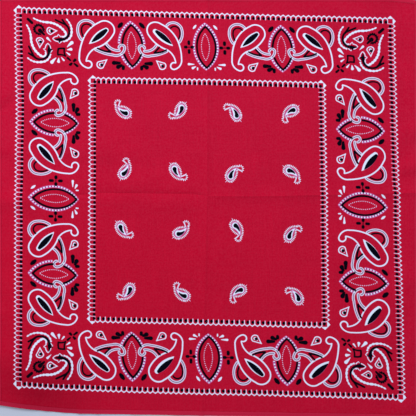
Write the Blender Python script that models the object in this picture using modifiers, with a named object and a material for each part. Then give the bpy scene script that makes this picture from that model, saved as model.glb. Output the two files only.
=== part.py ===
"""A bandana: one square of red cotton with four turned hems, lying flat and face up.

Units are metres and +Z is up. The origin is on the surface that the cloth lies on, under the
middle of the square. +X runs to the wearer's right along the lower hem and +Y towards the upper hem.
"""

import bisect
import math

import bmesh
import bpy

MM = 0.001

# Cut and sewing
SIDE = 558.8 * MM  # 22 inches from hem edge to hem edge, both ways
HEM_WIDTH = 5.6 * MM  # a narrow double-turned hem
HEM_THICKNESS = 2.0 * MM  # three layers of cloth
HEM_ROUNDING = 0.6 * MM  # the hem's long edges, where the cloth turns
CLOTH_WALL = 1.0 * MM
SEAM_GAP = 0.3 * MM  # between the panel and its hems, and between hems at a corner

# How the square lies: the lower hem slopes, and two corners are drawn in
LOWER_HEM_RISE = 8.8 * MM  # left end above right end
LOWER_LEFT_TUCK = 10.6 * MM  # how far that corner is drawn up
LOWER_LEFT_TUCK_LENGTH = 114.0 * MM
UPPER_RIGHT_TUCK = 4.4 * MM
UPPER_RIGHT_TUCK_LENGTH = 46.0 * MM
TUCK_CURVE = 1.6  # power of the drawn-in curve

# Fold lines from being stored folded in quarters. The upright one was folded first, so it stands up
# along its whole length. The level one stands up on the right and sinks on the left, from a little
# way in from the left hem.
FOLD_HEIGHT = 1.7 * MM
FOLD_HALF_WIDTH = 18.0 * MM
FOLD_SINK = 2.0 * MM
SINK_START = -240.0 * MM
SINK_FULL = -150.0 * MM
UPRIGHT_FOLD = (  # (y, x) of its bends, bottom to top
    (-279.4 * MM, -8.0 * MM),
    (-150.0 * MM, -5.0 * MM),
    (15.0 * MM, -0.8 * MM),
    (279.4 * MM, -0.4 * MM),
)
LEVEL_FOLD = (  # (x, y) of its bends, left to right
    (-279.4 * MM, 9.5 * MM),
    (-200.0 * MM, 14.5 * MM),
    (-140.0 * MM, 20.0 * MM),
    (-20.0 * MM, 18.6 * MM),
    (0.0 * MM, 15.6 * MM),
    (70.0 * MM, 15.4 * MM),
    (279.4 * MM, 20.2 * MM),
)

# Soft swells. Each runs from (x0, y0) to (x1, y1), is `height` tall along that line, and falls to
# nothing `left` and `right` of it, as seen looking from its first end to its second. All in mm.
SWELL_COLUMNS = ("x0", "y0", "x1", "y1", "height", "left", "right")
SWELLS = {
    "dent across the upper left border": (-279.4, 137, -207, 191, 1.8, 26, 11),
    "band above the left end of the level fold": (-279.4, 80, -96, 73, 1.4, 30, 20),
    "rise along the left end of the level fold": (-279.4, 9.5, -225, 12, 2.6, 26, 24),
    "rise on both sides of the sunk fold": (-190, 18, -12, 18.5, 2.2, 36, 32),
    "slant up to the middle": (-104, 31, -12, 69, 0.5, 22, 15),
    "slope right of the upright fold": (-2, -4, -5, -168, 2.0, 70, 20),
    "slant in the lower right border": (262, -96, 214, -226, 2.0, 24, 34),
    "ripple above the right end of the level fold": (279.4, 57, 254, 52, 2.8, 14, 14),
    "ripple further up the right hem": (279.4, 105, 254, 100, 1.7, 20, 14),
    "rise under the upper right corner": (150, 262, 279.4, 243, 2.2, 20, 52),
    "swell in the right border": (162, 148, 262, 156, 1.4, 26, 26),
    "rise over the lower left corner": (-279.4, -205, -170, -196, 3.4, 30, 52),
    "lift of the lower left corner": (-279.4, -258, -226, -279.4, 3.0, 20, 16),
    "lift of the lower right corner": (279.4, -252, 236, -279.4, 2.4, 18, 20),
    "ripple in the upper hem": (-92, 279.4, -84, 236, 2.0, 20, 22),
    "ripple in the lower hem": (118, -279.4, 108, -238, 2.2, 20, 18),
}
SWELL_FADE = 0.25  # share of a swell's length over which its inner end dies away

# Mesh stations, as shares of the way from a fold line to the hem
STATIONS_AT_FOLD = (0.02, 0.045, 0.085)
STATIONS_TO_HEM = 19

CLOTH_RED = (0.485, 0.009, 0.033, 1.0)
HEM_RED = (0.455, 0.008, 0.030, 1.0)


def along_bends(bends, place):
    """The fold line's offset at one place, on straight runs between its bends."""
    places = [bend[0] for bend in bends]
    last = min(max(bisect.bisect_right(places, place), 1), len(bends) - 1)
    (start, first), (end, second) = bends[last - 1], bends[last]
    share = min(max((place - start) / (end - start), 0.0), 1.0)
    return first + (second - first) * share


def tuck(distance, depth, length):
    """How far a corner's hem is drawn in, at a distance along it from the corner."""
    return depth * max(0.0, 1.0 - distance / length) ** TUCK_CURVE


def lower_edge(x):
    rise = LOWER_HEM_RISE * (0.5 - x / SIDE)
    return -SIDE / 2 + rise + tuck(x + SIDE / 2, LOWER_LEFT_TUCK, LOWER_LEFT_TUCK_LENGTH)


def upper_edge(x):
    return SIDE / 2 - tuck(SIDE / 2 - x, UPPER_RIGHT_TUCK, UPPER_RIGHT_TUCK_LENGTH)


def ease(share):
    share = min(max(share, 0.0), 1.0)
    return share * share * (3.0 - 2.0 * share)


def pressed_fold(distance):
    """Cross-section of a pressed fold: a sharp crest with hollow sides, 1 high."""
    return max(0.0, 1.0 - abs(distance) / FOLD_HALF_WIDTH) ** 2


def swell_height(x, y, swell):
    row = dict(zip(SWELL_COLUMNS, (value * MM for value in swell)))
    run_x, run_y = row["x1"] - row["x0"], row["y1"] - row["y0"]
    length = math.hypot(run_x, run_y)
    from_x, from_y = x - row["x0"], y - row["y0"]
    share = (from_x * run_x + from_y * run_y) / length**2
    to_left = (run_x * from_y - run_y * from_x) / length
    spread = row["left"] if to_left > 0 else row["right"]
    across = max(0.0, 1.0 - (to_left / spread) ** 2) ** 2
    start = ease(1.0 + share / SWELL_FADE)
    end = ease((1.0 + SWELL_FADE - share) / (2 * SWELL_FADE))
    return row["height"] * across * start * end


def lift(x, y):
    """Height of the cloth's underside above the surface it lies on."""
    upright = FOLD_HEIGHT * pressed_fold(x - along_bends(UPRIGHT_FOLD, y))
    beside = x - along_bends(UPRIGHT_FOLD, y)
    sinks = FOLD_SINK * ease((x - SINK_START) / (SINK_FULL - SINK_START))
    stands = FOLD_HEIGHT if beside > 0 else -sinks
    level = stands * ease(abs(beside) / FOLD_HALF_WIDTH)
    level *= pressed_fold(y - along_bends(LEVEL_FOLD, x))
    swells = sum(swell_height(x, y, swell) for swell in SWELLS.values())
    return max(0.0, upright + level + swells)


def stations():
    """Shares from -1 at one hem through 0 at the fold line to 1 at the other hem, close at the fold."""
    last = STATIONS_AT_FOLD[-1]
    step = (1.0 - last) / STATIONS_TO_HEM
    half = list(STATIONS_AT_FOLD) + [last + step * n for n in range(1, STATIONS_TO_HEM + 1)]
    return [-share for share in reversed(half)] + [0.0] + half


def between(low, middle, high, share):
    return middle + share * ((high - middle) if share > 0 else (middle - low))


def sheet_object(name, columns, rows, place, thickness, colour):
    """A grid of columns x rows points, each put where place(column, row) says and lifted with the
    cloth, thickened upwards into a closed wall."""
    mesh = bpy.data.meshes.new(name)
    shape = bmesh.new()
    bmesh.ops.create_grid(shape, x_segments=columns - 1, y_segments=rows - 1, size=1.0)
    for point in shape.verts:
        column = round((point.co.x + 1.0) / 2.0 * (columns - 1))
        row = round((point.co.y + 1.0) / 2.0 * (rows - 1))
        x, y = place(column, row)
        point.co = (x, y, lift(x, y))
    shape.to_mesh(mesh)
    shape.free()
    sheet = bpy.data.objects.new(name, mesh)
    bandana.objects.link(sheet)
    wall = sheet.modifiers.new("wall", "SOLIDIFY")
    wall.thickness = thickness
    wall.offset = 1.0
    mesh.materials.append(cotton(name + " cotton", colour))
    mesh.shade_smooth()
    mesh.set_sharp_from_angle(angle=math.radians(35))
    return sheet


def cotton(name, colour):
    finish = bpy.data.materials.new(name)
    finish.use_nodes = True
    surface = finish.node_tree.nodes["Principled BSDF"]
    surface.inputs["Base Color"].default_value = colour
    surface.inputs["Roughness"].default_value = 0.85
    surface.inputs["Metallic"].default_value = 0.0
    return finish


def make_panel():
    inset = HEM_WIDTH + SEAM_GAP
    shares = stations()

    def place(column, row):
        nominal_y = shares[row] * SIDE / 2
        x = between(
            inset - SIDE / 2, along_bends(UPRIGHT_FOLD, nominal_y), SIDE / 2 - inset, shares[column]
        )
        low, high = lower_edge(x) + inset, upper_edge(x) - inset
        return x, between(low, along_bends(LEVEL_FOLD, x), high, shares[row])

    return sheet_object("panel", len(shares), len(shares), place, CLOTH_WALL, CLOTH_RED)


def round_edges(hem):
    turned = hem.modifiers.new("turned edge", "BEVEL")
    turned.width = HEM_ROUNDING
    turned.segments = 1
    turned.limit_method = "ANGLE"
    turned.angle_limit = math.radians(50)


def make_level_hem(name, edge, inwards):
    """The upper or lower hem, the whole width of the square. inwards is +1 where the cloth is above
    the edge and -1 where it is below."""
    shares = stations()

    def place(column, row):
        x = between(-SIDE / 2, along_bends(UPRIGHT_FOLD, edge(0.0)), SIDE / 2, shares[column])
        across = row * HEM_WIDTH if inwards > 0 else (1 - row) * HEM_WIDTH
        return x, edge(x) + inwards * across

    hem = sheet_object(name, len(shares), 2, place, HEM_THICKNESS, HEM_RED)
    round_edges(hem)
    return hem


def make_upright_hem(name, outer_x, inwards):
    """The left or right hem, between the upper and the lower one. inwards is +1 where the cloth is to
    the right of the edge and -1 where it is to the left."""
    shares = stations()
    inset = HEM_WIDTH + SEAM_GAP

    def place(column, row):
        across = column * HEM_WIDTH if inwards > 0 else (1 - column) * HEM_WIDTH
        x = outer_x + inwards * across
        low, high = lower_edge(x) + inset, upper_edge(x) - inset
        return x, between(low, along_bends(LEVEL_FOLD, x), high, shares[row])

    hem = sheet_object(name, 2, len(shares), place, HEM_THICKNESS, HEM_RED)
    round_edges(hem)
    return hem


for old in list(bpy.data.objects):
    bpy.data.objects.remove(old, do_unlink=True)

bandana = bpy.data.collections.new("bandana")
bpy.context.scene.collection.children.link(bandana)

make_panel()
make_level_hem("hem_bottom", lower_edge, +1)
make_level_hem("hem_top", upper_edge, -1)
make_upright_hem("hem_left", -SIDE / 2, +1)
make_upright_hem("hem_right", SIDE / 2, -1)
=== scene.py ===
# %% [markdown]
# # A red printed bandana
#
# A bandana is the plainest garment there is: one square of thin cotton, turned over twice along each
# side and stitched down, with a white and a black ink pressed onto its face. This lesson dresses the
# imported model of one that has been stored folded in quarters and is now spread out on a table.
#
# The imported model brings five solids, a panel and four hems. They are the right size and carry the
# large folds, but they are thick and coarse, so each gets a thin shell here that follows it closely.

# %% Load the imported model
import math
import random

import bpy
import numpy as np
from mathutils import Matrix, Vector


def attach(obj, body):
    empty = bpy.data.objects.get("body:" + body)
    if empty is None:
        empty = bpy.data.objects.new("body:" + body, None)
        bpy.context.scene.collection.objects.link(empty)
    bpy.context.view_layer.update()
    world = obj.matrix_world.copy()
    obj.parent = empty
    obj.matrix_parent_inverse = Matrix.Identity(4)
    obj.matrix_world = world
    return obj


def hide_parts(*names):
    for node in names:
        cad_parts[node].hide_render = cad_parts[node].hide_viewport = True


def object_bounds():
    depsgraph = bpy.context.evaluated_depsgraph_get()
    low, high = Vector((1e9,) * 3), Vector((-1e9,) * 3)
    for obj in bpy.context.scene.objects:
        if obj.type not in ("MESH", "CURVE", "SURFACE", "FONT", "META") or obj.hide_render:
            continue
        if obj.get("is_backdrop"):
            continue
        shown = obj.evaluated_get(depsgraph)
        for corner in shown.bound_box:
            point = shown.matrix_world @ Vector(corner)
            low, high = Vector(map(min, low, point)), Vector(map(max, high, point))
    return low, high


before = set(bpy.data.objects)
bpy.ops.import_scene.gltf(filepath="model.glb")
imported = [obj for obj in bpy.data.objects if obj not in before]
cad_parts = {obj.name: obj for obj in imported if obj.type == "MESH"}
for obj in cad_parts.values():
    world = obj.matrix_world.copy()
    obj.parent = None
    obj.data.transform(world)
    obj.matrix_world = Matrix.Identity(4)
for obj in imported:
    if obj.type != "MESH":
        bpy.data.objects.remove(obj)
cad_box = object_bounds()
print("packed nodes:", ", ".join(sorted(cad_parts)))

# %% [markdown]
# ## Where we look from
#
# The cloth is seen from straight above, so close that its left, right and upper edges just leave the
# picture. Sizes in this file are in millimetres, because cloth and print are small, and MM turns them
# into the metres that Blender works in. A long lens high above keeps the square a square. Lamp and
# table, and the cloth's uneven dye with the painted shade and sheen on it, are large or soft and are
# given in metres.

# %% Camera
MM = 0.001
VIEW_WIDTH = 550.9
VIEW_CENTRE = (0.26, 0.0)
CAMERA_HEIGHT = 1300.0
FILM_WIDTH = 36.0
CLOTH_TOP = 1.2  # height of most of the face

camera = bpy.data.objects.new("camera", bpy.data.cameras.new("camera"))
bpy.context.scene.collection.objects.link(camera)
camera.data.sensor_width = FILM_WIDTH
camera.data.lens = FILM_WIDTH * CAMERA_HEIGHT / VIEW_WIDTH
camera.location = (VIEW_CENTRE[0] * MM, VIEW_CENTRE[1] * MM, (CAMERA_HEIGHT + CLOTH_TOP) * MM)
bpy.context.scene.camera = camera
print("camera: %.1f mm lens, %.2f m up" % (camera.data.lens, camera.location.z))

# %% [markdown]
# ## Light
#
# Cloth this flat shows its folds only by shading, so the light has to be soft and come from one side.
# A large lamp stands high beyond the upper hem, a little to the left, and an even glow from all round
# fills the rest. The lamp's spread is narrowed, as a grid before it would do, so that the lower corners
# are a little darker than the top. The view transform is the plain one, which leaves a saturated red
# as it is.

# %% Lamp and glow
LAMP_PLACE = (-0.31, 0.76, 1.08)
LAMP_AIM = (0.0, 0.06, 0.0)
LAMP_SIDE = 0.7
LAMP_SPREAD = math.radians(92)
LAMP_POWER = 3.13
LAMP_COLOUR = (0.92, 0.98, 1.10)
GLOW = (0.93, 0.98, 1.16)
GLOW_STRENGTH = 0.52

bpy.context.scene.view_settings.view_transform = "Standard"
lamp = bpy.data.objects.new("lamp", bpy.data.lights.new("lamp", "AREA"))
bpy.context.scene.collection.objects.link(lamp)
lamp.data.shape = "SQUARE"
lamp.data.size = LAMP_SIDE
lamp.data.spread = LAMP_SPREAD
lamp.data.energy = LAMP_POWER
lamp.data.color = LAMP_COLOUR
lamp.location = LAMP_PLACE
lamp.rotation_euler = (lamp.location - Vector(LAMP_AIM)).to_track_quat("Z", "Y").to_euler()
lamp.visible_camera = False

world = bpy.data.worlds.new("studio")
bpy.context.scene.world = world
world.use_nodes = True
world.node_tree.nodes["Background"].inputs["Color"].default_value = (*GLOW, 1.0)
world.node_tree.nodes["Background"].inputs["Strength"].default_value = GLOW_STRENGTH
print("lamp %.2f m away" % lamp.location.length)

# %% [markdown]
# ## The shape of the cloth
#
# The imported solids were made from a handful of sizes, and the shells use the same ones, so that the
# large form of both is the same. The square is not quite square as it lies: the lower hem slopes and
# two corners are drawn in. Two pressed lines remain from the way it was folded. The upright one was
# folded first, so it stands up along its whole length. The level one stands up on the right and sinks
# on the left, which is how a cloth folded twice always opens.

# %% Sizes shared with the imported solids
SIDE = 558.8
LOWER_HEM_RISE = 8.8
LOWER_LEFT_TUCK = 10.6
LOWER_LEFT_TUCK_LENGTH = 114.0
UPPER_RIGHT_TUCK = 4.4
UPPER_RIGHT_TUCK_LENGTH = 46.0
TUCK_CURVE = 1.6
FOLD_HEIGHT = 1.7
FOLD_HALF_WIDTH = 18.0
FOLD_SINK = 2.0
SINK_START = -240.0
SINK_FULL = -150.0
UPRIGHT_FOLD = ((-279.4, -8.0), (-150.0, -5.0), (15.0, -0.8), (279.4, -0.4))  # y, x
LEVEL_FOLD = (  # x, y
    (-279.4, 9.5), (-200.0, 14.5), (-140.0, 20.0), (-20.0, 18.6), (0.0, 15.6), (70.0, 15.4),
    (279.4, 20.2),
)
FOLDS_CROSS = (-0.8, 15.6)
SWELL_FADE = 0.25
SWELLS = {  # x0, y0, x1, y1, height, spread to the left and to the right of that line
    "dent across the upper left border": (-279.4, 137, -207, 191, 1.8, 26, 11),
    "band above the left end of the level fold": (-279.4, 80, -96, 73, 1.4, 30, 20),
    "rise along the left end of the level fold": (-279.4, 9.5, -225, 12, 2.6, 26, 24),
    "rise on both sides of the sunk fold": (-190, 18, -12, 18.5, 2.2, 36, 32),
    "slant up to the middle": (-104, 31, -12, 69, 0.5, 22, 15),
    "slope right of the upright fold": (-2, -4, -5, -168, 2.0, 70, 20),
    "slant in the lower right border": (262, -96, 214, -226, 2.0, 24, 34),
    "ripple above the right end of the level fold": (279.4, 57, 254, 52, 2.8, 14, 14),
    "ripple further up the right hem": (279.4, 105, 254, 100, 1.7, 20, 14),
    "rise under the upper right corner": (150, 262, 279.4, 243, 2.2, 20, 52),
    "swell in the right border": (162, 148, 262, 156, 1.4, 26, 26),
    "rise over the lower left corner": (-279.4, -205, -170, -196, 3.4, 30, 52),
    "lift of the lower left corner": (-279.4, -258, -226, -279.4, 3.0, 20, 16),
    "lift of the lower right corner": (279.4, -252, 236, -279.4, 2.4, 18, 20),
    "ripple in the upper hem": (-92, 279.4, -84, 236, 2.0, 20, 22),
    "ripple in the lower hem": (118, -279.4, 108, -238, 2.2, 20, 18),
}
print("%d swells and 2 pressed folds, as in the solids" % len(SWELLS))


# %% The same lift as the solids, for whole arrays of points
def ease(share):
    share = np.clip(share, 0.0, 1.0)
    return share * share * (3.0 - 2.0 * share)


def along_bends(bends, place):
    return np.interp(place, [bend[0] for bend in bends], [bend[1] for bend in bends])


def lower_edge(x):
    tuck = np.clip(1.0 - (x + SIDE / 2) / LOWER_LEFT_TUCK_LENGTH, 0.0, None) ** TUCK_CURVE
    return -SIDE / 2 + LOWER_HEM_RISE * (0.5 - x / SIDE) + LOWER_LEFT_TUCK * tuck


def upper_edge(x):
    tuck = np.clip(1.0 - (SIDE / 2 - x) / UPPER_RIGHT_TUCK_LENGTH, 0.0, None) ** TUCK_CURVE
    return SIDE / 2 - UPPER_RIGHT_TUCK * tuck


def pressed_fold(distance, half_width):
    return np.clip(1.0 - np.abs(distance) / half_width, 0.0, None) ** 2


def swell_height(x, y, x0, y0, x1, y1, height, left, right):
    run_x, run_y = x1 - x0, y1 - y0
    length = math.hypot(run_x, run_y)
    share = ((x - x0) * run_x + (y - y0) * run_y) / length**2
    to_left = (run_x * (y - y0) - run_y * (x - x0)) / length
    spread = np.where(to_left > 0, left, right)
    across = np.clip(1.0 - (to_left / spread) ** 2, 0.0, None) ** 2
    start = ease(1.0 + share / SWELL_FADE)
    end = ease((1.0 + SWELL_FADE - share) / (2 * SWELL_FADE))
    return height * across * start * end


def sunk(x):
    """How much of its depth the level fold has on the left, from 0 near the hem to 1."""
    return ease((x - SINK_START) / (SINK_FULL - SINK_START))


def solid_lift(x, y):
    beside = x - along_bends(UPRIGHT_FOLD, y)
    upright = FOLD_HEIGHT * pressed_fold(beside, FOLD_HALF_WIDTH)
    stands = np.where(beside > 0, FOLD_HEIGHT, -FOLD_SINK * sunk(x))
    level = stands * ease(np.abs(beside) / FOLD_HALF_WIDTH)
    level = level * pressed_fold(y - along_bends(LEVEL_FOLD, x), FOLD_HALF_WIDTH)
    return upright + level + sum(swell_height(x, y, *swell) for swell in SWELLS.values())


print("lift where the folds cross: %.2f mm" % solid_lift(*FOLDS_CROSS))

# %% [markdown]
# ## Creases that are too fine for the solids
#
# Three kinds of small relief make the difference between card and cloth. The pressed lines have a
# sharp ridge only a few millimetres wide. Short creases cross the cloth here and there, each placed one
# by one. And the stitching draws the hems in, which raises short puckers along them, deep at the hem and
# gone a thumb's width further in. Each is uneven in place, length and height, as real ones are.

# %% Fine creases and puckers
CREASE_HEIGHT = 0.42
CREASE_HALF_WIDTH = 3.2
REST_HEIGHT = 0.35  # cotton lies lightly, so fine troughs have room above the table
CREASES = {  # x0, y0, x1, y1, height, spread to the left and to the right
    "pulled yarn left of the middle": (-105.7, -46.3, -116.3, -91.4, -0.30, 4, 6),
    "foot of the upper left dent": (-274, 132, -213, 187, -0.5, 7, 12),
    "slanting crease in the lower left border": (-240, -101, -192, -118, -0.5, 9, 12),
    "sharper fold at the left hem": (-279.4, 9.0, -218, 11.2, 1.0, 15, 13),
    "second trough under the level fold": (-185, 0.5, -122, -1.5, -0.6, 13, 4),
    "sharper fold at the right hem": (279.4, 20.2, 222, 19.0, 0.7, 9, 9),
    "fold running out to the lower right hem": (232, -92, 270, -178, 0.8, 11, 26),
    "faint crease in the upper field": (-118, 92, -64, 118, 0.15, 8, 12),
    "shallow trough across the field": (-60, 148, 60, 118, -0.25, 16, 20),
    "trough under the upper right corner": (170, 214, 262, 206, -0.5, 16, 22),
    "soft ridge in the right border": (176, -34, 226, -58, 0.45, 9, 12),
    "soft ridge in the lower border": (-36, -196, -18, -246, 0.40, 10, 12),
    "slack beside the lower left corner": (-262, -214, -196, -232, 0.55, 12, 9),
    "crease in the upper border": (52, 244, 70, 196, 0.35, 8, 10),
    "slack in the upper left corner": (-262, 252, -216, 214, 0.45, 10, 14),
    "trough right of the lower field": (60, -96, 96, -150, -0.25, 12, 16),
}
PUCKERS = {  # place along the hem, height, reach into the cloth, half length
    "left": (
        (236, 0.6, 22, 14), (178, 0.7, 26, 18), (153, 0.5, 30, 13), (77, 0.8, 24, 13), (34, 0.6, 20, 10),
        (-22, 0.4, 17, 9), (-63, 1.1, 28, 17), (-110, 0.6, 20, 9), (-142, 1.0, 27, 14), (-176, 0.5, 18, 10),
        (-204, 1.0, 25, 20), (-240, 0.5, 16, 10),
    ),
    "right": (
        (228, 0.5, 18, 13), (184, 0.5, 16, 7), (104, 1.6, 18, 20), (60, 2.6, 18, 26), (-26, 0.6, 20, 10),
        (-54, 0.7, 22, 11), (-95, 0.9, 24, 12), (-142, 0.7, 22, 12), (-172, 0.4, 18, 9),
        (-204, 1.0, 24, 12), (-237, 0.6, 16, 9), (-257, 0.5, 14, 7),
    ),
    "top": (
        (-236, 0.6, 18, 12), (-184, 0.5, 14, 12), (-132, 0.7, 20, 14), (-38, 0.6, 17, 12), (22, 0.5, 15, 11),
        (74, 0.8, 22, 14), (136, 0.5, 16, 12), (188, 0.6, 19, 12), (238, 0.7, 18, 12),
    ),
    "bottom": (
        (-214, 0.9, 16, 9), (-190, 0.6, 14, 7), (-168, 1.0, 18, 8), (-146, 0.6, 13, 7), (-96, 0.7, 20, 13),
        (-40, 0.6, 17, 12), (18, 0.8, 22, 14), (66, 0.5, 16, 11), (162, 0.7, 19, 13), (208, 0.6, 17, 12),
    ),
}
RIPPLE_HEIGHT = 0.10  # tight little waves that the stitches themselves raise
RIPPLE_LENGTH = 7.4
RIPPLE_REACH = 9.0
RIPPLE_WANDER = (1.9, 17.0)  # how much the waves' spacing varies, and over how far
RIPPLE_SLANT = 0.35
CRINKLE_LENGTHS = (19, 23, 29, 34, 41, 52, 63, 78, 95)  # of the faint waves all over
CRINKLE_STEEPNESS = 0.00162
CRINKLE_SEED = 11


def insets(x, y):
    """How far a point is in from each edge of the square."""
    return {
        "left": x + SIDE / 2,
        "right": SIDE / 2 - x,
        "bottom": y - lower_edge(x),
        "top": upper_edge(x) - y,
    }


def pucker_height(x, y):
    total = 0.0
    for side, inset in insets(x, y).items():
        along = y if side in ("left", "right") else x
        for place, height, reach, half_length in PUCKERS[side]:
            across = np.clip(1.0 - ((along - place) / half_length) ** 2, 0.0, None) ** 2
            total = total + height * across * ease(1.0 - inset / reach)
        wander = RIPPLE_WANDER[0] * np.sin(along / RIPPLE_WANDER[1])
        wave = np.sin(along * (2 * math.pi / RIPPLE_LENGTH) + wander + inset * RIPPLE_SLANT)
        total = total + RIPPLE_HEIGHT * wave * ease(1.0 - inset / RIPPLE_REACH)
    return total


def crinkle_height(x, y):
    """Faint unevenness all over, from waves that cross at odd angles."""
    chance = random.Random(CRINKLE_SEED)
    total = 0.0
    for length in CRINKLE_LENGTHS:
        turn = chance.uniform(0, math.pi)
        phase = chance.uniform(0, 2 * math.pi)
        step = (x * math.cos(turn) + y * math.sin(turn)) * (2 * math.pi / length)
        total = total + CRINKLE_STEEPNESS * length * np.sin(step + phase)
    return total


def lift(x, y):
    """Height of the cloth's underside above the table."""
    beside = x - along_bends(UPRIGHT_FOLD, y)
    above = y - along_bends(LEVEL_FOLD, x)
    ridge = CREASE_HEIGHT * pressed_fold(beside, CREASE_HALF_WIDTH)
    stands = CREASE_HEIGHT * np.where(beside > 0, 1.0, -sunk(x))
    level = stands * ease(np.abs(beside) / CREASE_HALF_WIDTH)
    ridge = ridge + level * pressed_fold(above, CREASE_HALF_WIDTH)
    creases = sum(swell_height(x, y, *crease) for crease in CREASES.values())
    fine = ridge + creases + pucker_height(x, y) + crinkle_height(x, y)
    return np.maximum(REST_HEIGHT + solid_lift(x, y) + fine, 0.0)


print("%d fine creases, %d puckers" % (len(CREASES), sum(map(len, PUCKERS.values()))))

# %% [markdown]
# ## How thick the cloth is at each place
#
# A single layer is half a millimetre here, a little more than real bandana cotton so that it never
# vanishes edge-on. In a hem there are three layers, and at a corner two hems lie across each other.
# The seam between panel and hem is a groove that the stitches pull in. One function gives the height
# of the face above the underside everywhere, so hems, panel and stitches meet without a step.

# %% Layers at the hems
CLOTH = 0.5
SEAM = 5.75  # from the edge to the middle of the seam's groove
STITCH_INSET = 4.7
HEM_LAYERS = (  # from the edge, rise above the single cloth
    (0.0, 0.64), (3.9, 0.64), (4.35, 0.56), (STITCH_INSET, 0.48), (5.05, 0.50), (5.4, 0.32),
    (SEAM, 0.12), (6.2, 0.0),
)
GROOVE = ((5.2, 0.0), (6.0, 0.08), (6.5, 0.04), (7.2, 0.0))  # from the edge, depth
SECOND_HEM = 0.5  # share that the hem underneath adds at a corner, and that it takes off the groove
FACE_ROUNDING = 1.1
UNDER_ROUNDING = 0.66
EDGE_FACE = (0.36, 0.58)  # the fold's outermost strip, as shares of the thickness


def read_off(profile, inset):
    return np.interp(inset, [row[0] for row in profile], [row[1] for row in profile])


def roundness(inset, radius):
    """From 0 at the edge of the square to 1 where the turned edge is flat."""
    return np.sqrt(np.clip(1.0 - (1.0 - np.clip(inset / radius, 0.0, 1.0)) ** 2, 0.0, 1.0))


def nearest_insets(x, y):
    inset = insets(x, y)
    return np.minimum(inset["left"], inset["right"]), np.minimum(inset["top"], inset["bottom"])


def thickness(x, y):
    upright, level = nearest_insets(x, y)
    layers_u, layers_l = read_off(HEM_LAYERS, upright), read_off(HEM_LAYERS, level)
    rise = np.maximum(layers_u, layers_l) + SECOND_HEM * np.minimum(layers_u, layers_l)
    groove_u = read_off(GROOVE, upright) * (1 - SECOND_HEM * layers_l)
    groove_l = read_off(GROOVE, level) * (1 - SECOND_HEM * layers_u)
    return CLOTH + rise - groove_u - groove_l


def face_point(x, y):
    """Points on the face of the cloth."""
    edge = roundness(np.minimum(*nearest_insets(x, y)), FACE_ROUNDING)
    share = EDGE_FACE[1] + (1.0 - EDGE_FACE[1]) * edge
    return np.stack([x, y, lift(x, y) + thickness(x, y) * share], -1)


def under_point(x, y):
    edge = roundness(np.minimum(*nearest_insets(x, y)), UNDER_ROUNDING)
    return np.stack([x, y, lift(x, y) + thickness(x, y) * EDGE_FACE[0] * (1.0 - edge)], -1)


at_hem = thickness(0.0, lower_edge(0.0) + SEAM / 3)
print("%.2f mm at the panel, %.2f mm at a hem" % (thickness(0.0, 0.0), at_hem))

# %% [markdown]
# ## Where the print lies
#
# The ink was pressed onto cloth that was not perfectly straight, and the cloth has moved since, so the
# printed square is askew. Eight corners say how: four of the outer frame and four of the inner one.
# Between the two frames the print is stretched evenly from one to the other. On top of that the print
# has crept a few millimetres in places, and a table holds a row for each.
#
# The shader needs the opposite: for each point of the cloth, its place on the straight printed design.
# There is no short formula for that, so the place is found by stepping closer to it again and again,
# for all points at once, and stored on the mesh.

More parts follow.
